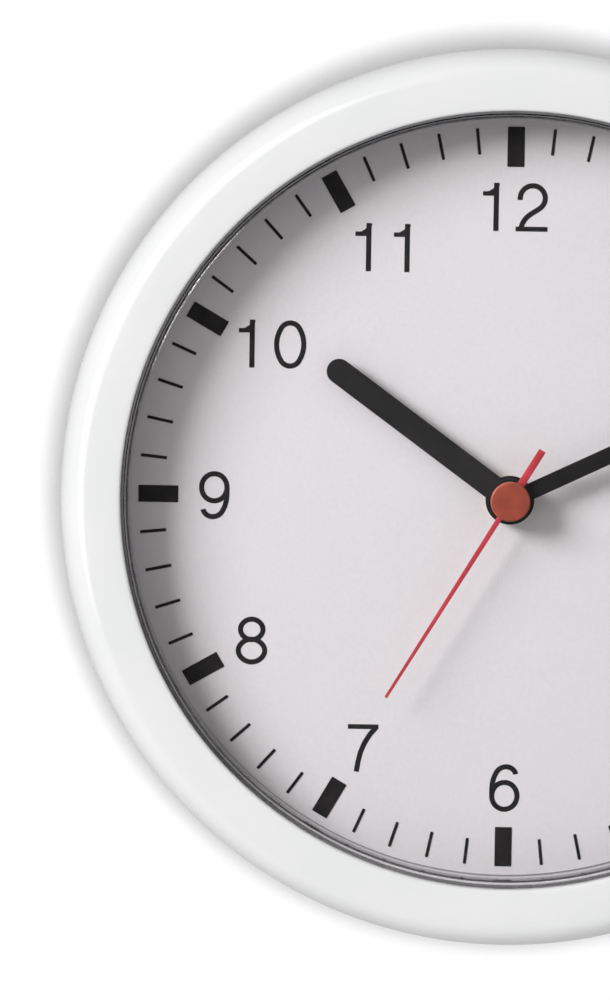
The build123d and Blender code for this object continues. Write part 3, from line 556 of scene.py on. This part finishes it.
def marks(name, width, inner, in_group, groups):
    """Marks that reach from the inner radius to MARKS_END: one group, then copies of the group."""
    nothing_selected()
    bpy.ops.mesh.primitive_cube_add(size=1, location=mm(0, -DIAL - INK / 2, (inner + MARKS_END) / 2),
                                    scale=mm(width, INK, MARKS_END - inner))
    piece = bpy.context.object
    piece.name = name
    bpy.ops.object.transform_apply(location=True, rotation=True, scale=True)
    bpy.ops.object.mode_set(mode="EDIT")
    bpy.ops.mesh.select_all(action="SELECT")
    bpy.ops.mesh.bevel(offset=SOFT_EDGE / 1000, segments=2, affect="EDGES", offset_type="OFFSET")
    if in_group > 1:
        turn_clockwise(PER_MINUTE)
        bpy.ops.mesh.select_all(action="SELECT")
        bpy.ops.mesh.spin(steps=in_group - 1, dupli=True, use_auto_merge=False,
                          angle=math.radians(-PER_MINUTE * (in_group - 1)),
                          center=(0, 0, 0), axis=(0, 1, 0))
        bpy.ops.mesh.select_all(action="SELECT")
    bpy.ops.mesh.spin(steps=groups - 1, dupli=True, use_auto_merge=False,
                      angle=math.tau * (groups - 1) / groups, center=(0, 0, 0), axis=(0, 1, 0))
    close_up(0.0005)
    wear(piece, "ink_black")
    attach(piece, "case")
    print(name, "faces", len(piece.data.polygons))
    return piece


hour_blocks = marks("hour_blocks", 4.7, 92.45, 1, 12)
minute_ticks = marks("minute_ticks", 0.84, 96.25, 4, 12)
for piece in (hour_blocks, minute_ticks):
    turns = [math.degrees(math.atan2(v.co.x, v.co.z)) for v in piece.data.vertices]
    spots = {round(turn / PER_MINUTE) % 60 for turn in turns}
    print(piece.name, "at minutes", sorted(spots))


# %% [markdown]
# ## The numerals
# The digits are lines of one even width, as a lettering pen draws them. So each digit is drawn as
# that pen would: put it down as a short edge across the stroke, pull it straight with Extrude, and
# take it round a curve with Spin.

# %% A pen that draws strokes
STROKE = 1.47


def along(degrees, length=1.0):
    return length * math.cos(math.radians(degrees)), length * math.sin(math.radians(degrees))


def stroke(lift, x, z, heading, moves, width=STROKE):
    """Edit mode: draws one stroke from x, z. A move is a length, or (radius, degrees) of a curve,
    with degrees positive to the left. Each stroke of a digit lies a hair above the last."""
    bpy.ops.mesh.select_all(action="DESELECT")
    side = along(heading + 90, width / 2)
    one_point(x - side[0], DIAL + lift, z - side[1])
    pull(2 * side[0], 0, 2 * side[1])
    bpy.ops.mesh.select_linked()
    for move in moves:
        if isinstance(move, tuple):
            radius, turn = move
            hand = 90 if turn > 0 else -90
            middle = [p + q for p, q in zip((x, z), along(heading + hand, radius))]
            bpy.ops.mesh.spin(steps=max(2, int(abs(turn) / 9)), angle=math.radians(turn),
                              center=mm(middle[0], 0, middle[1]), axis=(0, 1, 0))
            heading += turn
            x, z = (p + q for p, q in zip(middle, along(heading - hand, radius)))
        else:
            dx, dz = along(heading, move)
            pull(dx, 0, dz)
            x, z = x + dx, z + dz


def oval(lift, x, z, half_width, half_height):
    """Edit mode: a closed oval of four arcs about x, z. Its end arcs reach 58 degrees each way."""
    share = 58.0
    s, c = math.sin(math.radians(share)), math.cos(math.radians(share))
    common = s + c - 1
    end = (half_width * c - half_height * (1 - s)) / common
    flank = (half_height * s - half_width * (1 - c)) / common
    stroke(lift, x, z + half_height, 180, [(end, share), (flank, 180 - 2 * share),
                                           (end, 2 * share), (flank, 180 - 2 * share),
                                           (end, share)])


LAYER = 0.004      # how far each stroke of a digit lies above the last


def draw_digit(name, strokes):
    nothing_selected()
    bpy.ops.mesh.primitive_plane_add(size=0.001, location=(0, 0, 0))
    piece = bpy.context.object
    piece.name = name
    bpy.ops.object.mode_set(mode="EDIT")
    bpy.ops.mesh.select_all(action="SELECT")
    bpy.ops.mesh.delete(type="VERT")
    for order, (kind, *numbers) in enumerate(strokes):
        {"line": stroke, "oval": oval}[kind](order * LAYER, *numbers)
    bpy.ops.mesh.select_all(action="SELECT")
    bpy.ops.mesh.remove_doubles(threshold=0.000001)
    bpy.ops.object.mode_set(mode="OBJECT")
    return piece


# %% [markdown]
# A digit is a list of strokes. A line gives its start, its heading and its moves, an oval gives its
# middle and half its width and height, and all places are from the digit's own middle. The 6 is the
# 9 after half a turn, so it is worked out and not drawn.

# %% Draw the ten digits
def half_turn(strokes):
    """The same strokes upside down."""
    flipped = []
    for kind, x, z, *rest in strokes:
        if kind == "line":
            rest[0] = rest[0] + 180
        flipped.append((kind, -x, -z, *rest))
    return flipped


NINE = [("oval", 0.0, 2.2, 3.55, 3.8),
        ("line", 3.55, 2.2, -90, [2.15, (9.0, -30), (3.2, -60), (2.75, -76)])]
DIGITS = {
    "0": [("oval", 0.0, 0.0, 3.8, 6.0)],
    "1": [("line", 0.0, -6.7, 90, [13.4]),
          ("line", -3.75, 3.7, 0, [3.6], 1.25),
          ("line", -2.9, 3.7, 0, [0.35, (2.75, 76), 0.85], 1.25),
          ("line", -1.6, 4.0, 30, [1.5], 1.2)],
    "2": [("line", -3.3, 2.0, 90, [0.5, (3.5, -90), (3.45, -147), 2.9, (6.0, 52)]),
          ("line", -4.45, -6.03, 0, [8.9], 1.34)],
    "3": [("line", -3.05, 3.9, 80, [(3.0, -80), (2.95, -165)]),
          ("line", -0.6, 0.25, 0, [(3.3, -100), (3.15, -155)])],
    "4": [("line", 1.75, -6.7, 90, [13.4]),
          ("line", -4.3, -3.1, 0, [8.4], 1.30),
          ("line", -3.95, -3.1, 58.0, [10.9], 1.30)],
    "5": [("line", -2.6, 6.03, 0, [6.3], 1.30),
          ("line", -2.35, 6.5, -98, [6.6], 1.30),
          ("line", -3.3, 0.0, 48, [(4.1, -48), (4.05, -180), (4.1, -60)])],
    "6": half_turn(NINE),
    "7": [("line", -4.3, 6.03, 0, [8.6], 1.34),
          ("line", 3.75, 6.0, -135, [(18.0, 36), 2.85])],
    "8": [("oval", 0.0, 3.15, 3.15, 2.88), ("oval", 0.0, -2.82, 3.7, 3.22)],
    "9": NINE,
}
digit = {name: draw_digit("digit_" + name, strokes) for name, strokes in DIGITS.items()}
print("digits drawn:", {n: len(p.data.polygons) for n, p in digit.items()})

# %% [markdown]
# Every digit was drawn once. Copies are now moved to their places, joined to one print, and given
# the thickness of ink.

# %% Place the twelve hours
HOURS = [("1", 40.6, 69.6), ("2", 71.4, 40.9), ("3", 82.4, -0.2), ("4", 71.4, -40.9),
         ("5", 39.9, -70.6), ("6", 0.1, -81.4), ("7", -39.8, -70.7), ("8", -71.4, -40.9),
         ("9", -82.4, -0.2), ("1", -72.4, 42.3), ("0", -61.8, 42.2), ("1", -40.4, 69.6),
         ("1", -29.7, 69.5), ("1", -5.2, 81.3), ("2", 4.7, 81.3)]
figures = []
for name, x, z in HOURS:
    nothing_selected()
    digit[name].select_set(True)
    bpy.context.view_layer.objects.active = digit[name]
    bpy.ops.object.duplicate(linked=False)
    bpy.ops.transform.translate(value=mm(x, 0, z))
    figures.append(bpy.context.object)
numerals = join("numerals", figures)
for piece in digit.values():
    bpy.data.objects.remove(piece)
layer = numerals.modifiers.new("ink", "SOLIDIFY")
layer.thickness = INK / 1000
layer.offset = 0.0
apply_all(numerals)
wear(numerals, "ink_black")
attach(numerals, "case")
print("numerals faces", len(numerals.data.polygons))


# %% [markdown]
# ## The hands
# Hour and minute hands are stamped sheet: a round-ended bar and a round hub, with a soft edge from
# stamping and paint. A circle is added at the axis, its outer half is moved out to make the bar,
# and a second circle makes the hub. A Boolean joins the two, and a Bevel softens the outline. The
# hub stands a hair proud on both sides, so that no two faces lie in one plane for the Boolean.

# %% Hour and minute hands
def plate(name, radius, rear, front, reach=0.0):
    """A disc from rear to front height, or a round-ended bar when its outer half is moved out."""
    nothing_selected()
    bpy.ops.mesh.primitive_cylinder_add(vertices=96, radius=radius / 1000,
                                        depth=(front - rear) / 1000,
                                        location=mm(0, -(front + rear) / 2, 0),
                                        rotation=(math.pi / 2, 0, 0))
    piece = bpy.context.object
    piece.name = name
    bpy.ops.object.transform_apply(location=True, rotation=True, scale=True)
    if reach:
        bpy.ops.object.mode_set(mode="EDIT")
        bpy.ops.mesh.select_mode(type="VERT")
        bpy.ops.mesh.select_all(action="DESELECT")
        bpy.ops.object.mode_set(mode="OBJECT")
        for vertex in piece.data.vertices:
            vertex.select = vertex.co.z > -1e-6
        bpy.ops.object.mode_set(mode="EDIT")
        bpy.ops.transform.translate(value=mm(0, 0, reach - radius))
        bpy.ops.object.mode_set(mode="OBJECT")
    return piece


PROUD = 0.02


def stamped_hand(name, angle, length, width, hub, rear, front, body, node):
    bar = plate(name, width / 2, rear, front, reach=length)
    boss = plate(name + "_hub", hub, rear - PROUD, front + PROUD)
    union = bar.modifiers.new("hub", "BOOLEAN")
    union.operation = "UNION"
    union.solver = "EXACT"
    union.object = boss
    edge = bar.modifiers.new("edge", "BEVEL")
    edge.width = 0.16 / 1000
    edge.segments = 3
    edge.limit_method = "ANGLE"
    edge.angle_limit = math.radians(50)
    apply_all(bar)
    bpy.data.objects.remove(boss)
    bpy.ops.object.mode_set(mode="EDIT")
    bpy.ops.mesh.select_all(action="SELECT")
    turn_clockwise(angle)
    bpy.ops.object.mode_set(mode="OBJECT")
    smooth(bar, 30)
    wear(bar, "hand_black")
    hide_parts(node)
    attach(bar, body)
    tip = max(bar.data.vertices, key=lambda v: v.co.x ** 2 + v.co.z ** 2).co
    print(name, "tip at", round(math.degrees(math.atan2(tip.x, tip.z)) % 360, 1), "degrees",
          round(tip.length * 1000, 1), "mm")


stamped_hand("hour_hand_sheet", angle=306.2, length=63.0, width=6.9, hub=6.8,
             rear=22.9, front=23.8, body="hour", node="hour_hand")
stamped_hand("minute_hand_sheet", angle=64.5, length=92.0, width=4.6, hub=6.1,
             rear=24.9, front=25.7, body="minute", node="minute_hand")

# %% [markdown]
# The seconds hand is a fine strip, tapered towards its tip, with a short, broader, square-ended
# tail as its counterweight. It starts as a flat plane that is pulled out and narrowed at each
# end, gets its thickness from Solidify, and a very small bevel.

# %% Seconds hand
SECONDS_ANGLE = 211.3
STRIP_HEIGHT = 27.2
TAIL, TAIL_WIDTH = 16.7, 2.1                 # how far it reaches behind the axis
PADDLE, SHOULDER = 12.6, 0.8                 # the broad part, and the step to the narrow one
REACH = 64.8


def narrow(share):
    """Edit mode: narrows the selected edge about the hand's middle line."""
    bpy.ops.transform.resize(value=(share, 1, 1), center_override=mm(0, -STRIP_HEIGHT, 0))


def seconds_hand():
    piece = new_point("seconds_hand_strip", -TAIL_WIDTH / 2, STRIP_HEIGHT, -TAIL)
    pull(TAIL_WIDTH, 0, 0)
    bpy.ops.mesh.select_all(action="SELECT")
    pull(0, 0, PADDLE)
    pull(0, 0, SHOULDER)
    narrow(0.75)
    pull(0, 0, TAIL - PADDLE - SHOULDER + REACH)
    narrow(0.54)
    close_up()
    sheet = piece.modifiers.new("sheet", "SOLIDIFY")
    sheet.thickness = 0.4 / 1000
    sheet.offset = 0.0
    edge = piece.modifiers.new("edge", "BEVEL")
    edge.width = 0.09 / 1000
    edge.segments = 2
    apply_all(piece)
    bpy.ops.object.mode_set(mode="EDIT")
    bpy.ops.mesh.select_all(action="SELECT")
    turn_clockwise(SECONDS_ANGLE)
    close_up(0.0005)
    smooth(piece, 30)
    return piece


seconds = seconds_hand()
wear(seconds, "hand_red")
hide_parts("second_hand")
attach(seconds, "second")
tip = max(seconds.data.vertices, key=lambda v: v.co.x ** 2 + v.co.z ** 2).co
print("seconds tip", round(math.degrees(math.atan2(tip.x, tip.z)) % 360, 1))

# %% [markdown]
# The cap is a small moulded button that hides the hand stack. Its top is flat with a narrow
# rounded edge, which is where it catches the light.

# %% Cap
CAP, CAP_FRONT, CAP_REAR = 5.5, 29.3, 27.4
CAP_BEND, CAP_CHAMFER = 0.5, 0.15
button = ([(0.0, CAP_FRONT), (3.0, CAP_FRONT)]
          + corner(CAP - CAP_BEND, CAP_FRONT - CAP_BEND, CAP_BEND, 90, 0, 6)
          + [(CAP, CAP_REAR + CAP_CHAMFER), (CAP - CAP_CHAMFER, CAP_REAR), (0.0, CAP_REAR)])
cap = turned("cap_button", button, steps=96)
wear(cap, "cap_red")
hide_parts("hand_cap")
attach(cap, "second")


# %% [markdown]
# ## The wall
# The clock hangs on a plain white wall. A wall hides the back of whatever hangs on it, so this one
# is a sheet that can be seen through from behind, and no ray but the camera's meets it. Its paint
# glows a little, and Ambient Occlusion dims that glow close to the clock: a painted shadow, the soft
# halo round the clock.

# %% Wall
WALL_GAP = 0.5
# reach of the painted shadow halo round the clock, in millimetres
PAINTED_HALO_REACH = 15.0


def wall_white():
    """White paint that glows a little, with a painted shadow halo where the clock stands near."""
    material = finish("wall_white", (0.42, 0.42, 0.42), (0.41, 0.41, 0.41), (0.8, 0.9), patch=60,
                      grain=1.5, depth=0.01)
    tree, shader = opened(material)
    # painted shadow: the wall's glow drops where the clock stands near
    glow_with_painted_halo = spread(tree, open_air(tree, PAINTED_HALO_REACH), 0.14, 0.86, 0.52, 0.93)
    tree.links.new(glow_with_painted_halo, shader.inputs["Emission Strength"])
    shader.inputs["Emission Color"].default_value = (1.0, 1.0, 1.0, 1.0)
    side = tree.nodes.new("ShaderNodeNewGeometry")
    clear = tree.nodes.new("ShaderNodeBsdfTransparent")
    one_way = tree.nodes.new("ShaderNodeMixShader")
    tree.links.new(side.outputs["Backfacing"], one_way.inputs[0])
    tree.links.new(shader.outputs[0], one_way.inputs[1])
    tree.links.new(clear.outputs[0], one_way.inputs[2])
    tree.links.new(one_way.outputs[0], tree.nodes["Material Output"].inputs["Surface"])
    return material


nothing_selected()
bpy.ops.mesh.primitive_plane_add(size=6, location=mm(0, WALL_GAP, 0), rotation=(math.pi / 2, 0, 0))
wall = bpy.context.object
wall.name = "wall"
bpy.ops.object.transform_apply(location=True, rotation=True, scale=True)
wall.data.materials.append(wall_white())
for ray in ("diffuse", "glossy", "transmission", "shadow"):
    setattr(wall, f"visible_{ray}", False)
print("the wall faces", tuple(round(v) for v in wall.data.polygons[0].normal))

# %% [markdown]
# ## The light
# The world gives an even white light from all sides but straight ahead of the clock, where it is
# dim, so that the flat lens has nothing bright to mirror. What is seen past the clock is a plain
# pale backdrop, whatever the light does there.

# %% World
scene = bpy.context.scene
world = bpy.data.worlds.new("studio")
scene.world = world
world.use_nodes = True
sky = world.node_tree
toward = sky.nodes.new("ShaderNodeTexCoord")
axes = sky.nodes.new("ShaderNodeSeparateXYZ")
front = sky.nodes.new("ShaderNodeMapRange")         # Y is -1 straight ahead of the clock
front.interpolation_type = "SMOOTHSTEP"
front.inputs["From Min"].default_value = -0.96
front.inputs["From Max"].default_value = -0.78
front.inputs["To Min"].default_value = 0.03
front.inputs["To Max"].default_value = 0.58
sky.links.new(toward.outputs["Generated"], axes.inputs["Vector"])
sky.links.new(axes.outputs["Y"], front.inputs["Value"])
sky.links.new(front.outputs["Result"], sky.nodes["Background"].inputs["Strength"])
sky.nodes["Background"].inputs["Color"].default_value = (1.0, 1.0, 1.0, 1.0)

backdrop = sky.nodes.new("ShaderNodeBackground")
backdrop.inputs["Color"].default_value = (0.74, 0.74, 0.75, 1.0)
ray = sky.nodes.new("ShaderNodeLightPath")
either = sky.nodes.new("ShaderNodeMixShader")
sky.links.new(ray.outputs["Is Camera Ray"], either.inputs[0])
sky.links.new(sky.nodes["Background"].outputs[0], either.inputs[1])
sky.links.new(backdrop.outputs[0], either.inputs[2])
sky.links.new(either.outputs[0], sky.nodes["World Output"].inputs["Surface"])

# %% [markdown]
# Four soft lamps are aimed at the middle of the dial, and each falls on chosen pieces only, while
# everything still casts its shadow. A large one stands to the upper left, as a window would, and
# models the dial and the hands. A small one beside it puts a glint on the edges. A broad flood in
# front keeps the white ring even all the way round. The last one lights the back.

# %% Lamps
def soft_lamp(name, place, size, power, title, wanted):
    """A round lamp, places and sizes in metres and power in watts; wanted picks what it lights."""
    data = bpy.data.lights.new(name, "AREA")
    data.shape = "DISK"
    data.size = size
    data.energy = power
    lamp = bpy.data.objects.new(name, data)
    scene.collection.objects.link(lamp)
    lamp.location = place
    lamp.rotation_euler = (-Vector(place)).to_track_quat("-Z", "Y").to_euler()
    chosen = bpy.data.collections.new(title)
    for piece in scene.objects:
        if piece.type == "MESH" and wanted(piece):
            chosen.objects.link(piece)
    lamp.light_linking.receiver_collection = chosen


def inner_pieces(piece):
    return piece is not wall and piece is not bezel


soft_lamp("window", (-1.75, -1.20, 0.98), 1.1, 66, "lit_by_window", inner_pieces)
soft_lamp("window_edge", (-1.65, -1.35, 0.95), 0.20, 2, "lit_by_window_edge",
          lambda piece: piece is not wall)
soft_lamp("front_flood", (-0.90, -1.70, 0.35), 1.6, 30.5, "lit_by_flood",
          lambda piece: piece is bezel)
soft_lamp("behind", (0.85, 1.25, 0.95), 0.7, 15, "lit_from_behind", inner_pieces)

# %% [markdown]
# ## The camera
# A long lens a little above the clock and to its left, aimed so that the clock runs off the right
# side of the picture.

# %% Camera
camera_data = bpy.data.cameras.new("camera")
camera_data.lens = 169.52
camera_data.sensor_width = 36
camera = bpy.data.objects.new("camera", camera_data)
scene.collection.objects.link(camera)
camera.location = (-0.04228, -1.32901, 0.11767)
camera.rotation_euler = [math.radians(a) for a in (84.8103, -0.8473, 0.7229)]
scene.camera = camera
scene.view_settings.view_transform = "Standard"
